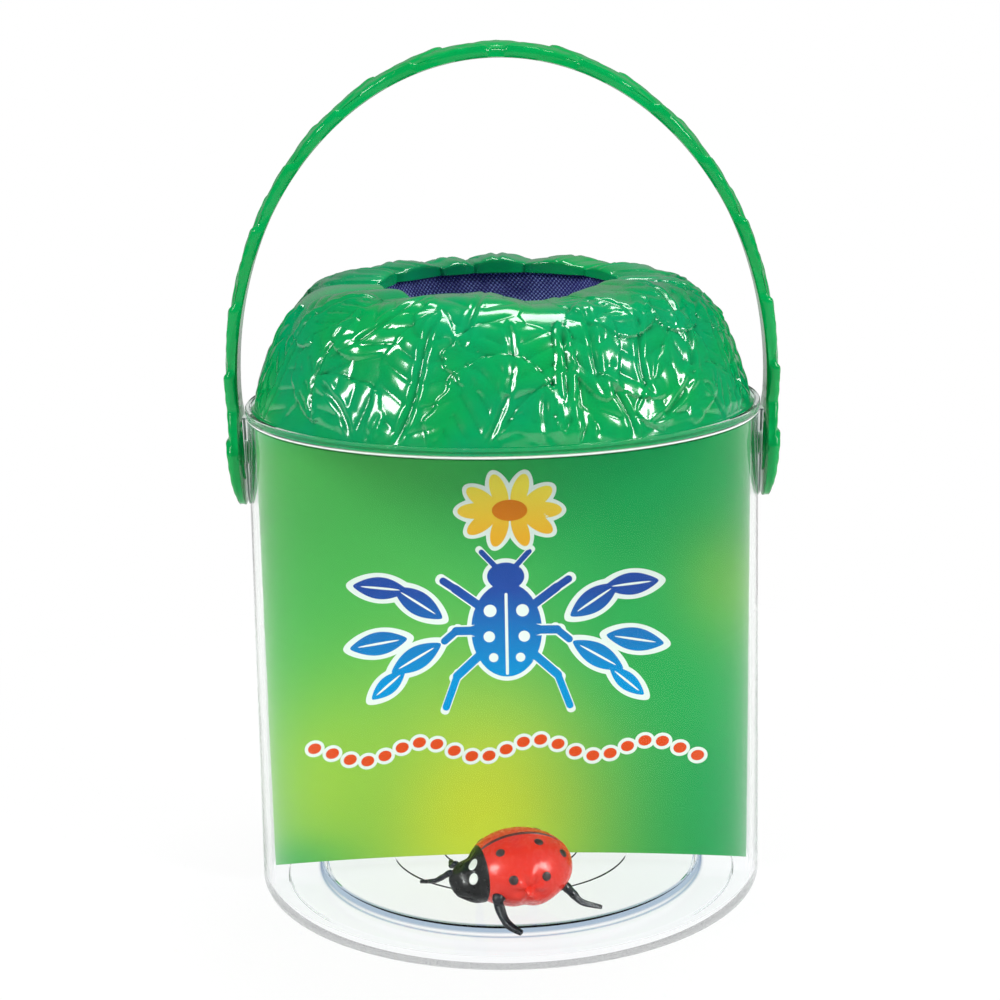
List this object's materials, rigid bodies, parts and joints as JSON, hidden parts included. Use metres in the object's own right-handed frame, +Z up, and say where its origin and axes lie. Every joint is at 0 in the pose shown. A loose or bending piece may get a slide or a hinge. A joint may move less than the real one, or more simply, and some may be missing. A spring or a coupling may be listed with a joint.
{
  "type": "bug catcher jar",
  "caption": "Clear insect jar with a leafy snap-in lid, gathered cloth hand hole, swinging carry handle, printed card and a loose rubber ladybird.",
  "frame": {"origin": "centre of the jar's foot ring, on the surface it stands on", "axes": "+Z up along the jar's axis, +X along the handle's pivot axis, -Y towards the printed front of the card"},
  "size_m": [0.1616, 0.151, 0.248],
  "materials": {
    "clear_plastic": "clear polished moulding",
    "leaf_plastic": "glossy green moulding with leaf relief",
    "ring_plastic": "plain green moulding",
    "navy_cloth": "plain woven nylon",
    "elastic_rubber": "covered elastic cord",
    "handle_plastic": "glossy flexible moulding with leaf relief",
    "printed_board": "printed card with a satin varnish",
    "red_rubber": "soft glossy rubber",
    "black_rubber": "soft glossy rubber",
    "white_print": "pad-printed paint",
    "black_print": "pad-printed paint"
  },
  "bodies": {
    "jar_body": {"jar": "clear_plastic", "printed_card": "printed_board"},
    "lid": {"lid_shell": "leaf_plastic", "sleeve_ring": "ring_plastic", "cloth_sleeve": "navy_cloth", "sleeve_elastic": "elastic_rubber"},
    "handle": {"carry_handle": "handle_plastic"},
    "ladybird": {"ladybird_body": "red_rubber", "ladybird_head": "black_rubber", "ladybird_eyes": "white_print", "ladybird_spots": "black_print", "ladybird_leg_front_left": "black_rubber", "ladybird_leg_front_right": "black_rubber", "ladybird_leg_rear_left": "black_rubber", "ladybird_leg_rear_right": "black_rubber", "ladybird_feeler_left": "black_rubber", "ladybird_feeler_right": "black_rubber", "ladybird_nub": "red_rubber"}
  },
  "joints": [
    {"name": "handle_swing", "type": "hinge", "parent": "jar_body", "child": "handle", "pos_m": [0, 0, 0.1315], "axis": [1, 0, 0], "range_deg": [-139, 125]},
    {"name": "lid_lift", "type": "slide", "parent": "jar_body", "child": "lid", "axis": [0, 0, 1], "range_m": [0, 0.02]},
    {"name": "ladybird_lift", "type": "slide", "parent": "jar_body", "child": "ladybird", "axis": [0, 0, 1], "range_m": [0, 0.1]}
  ]
}
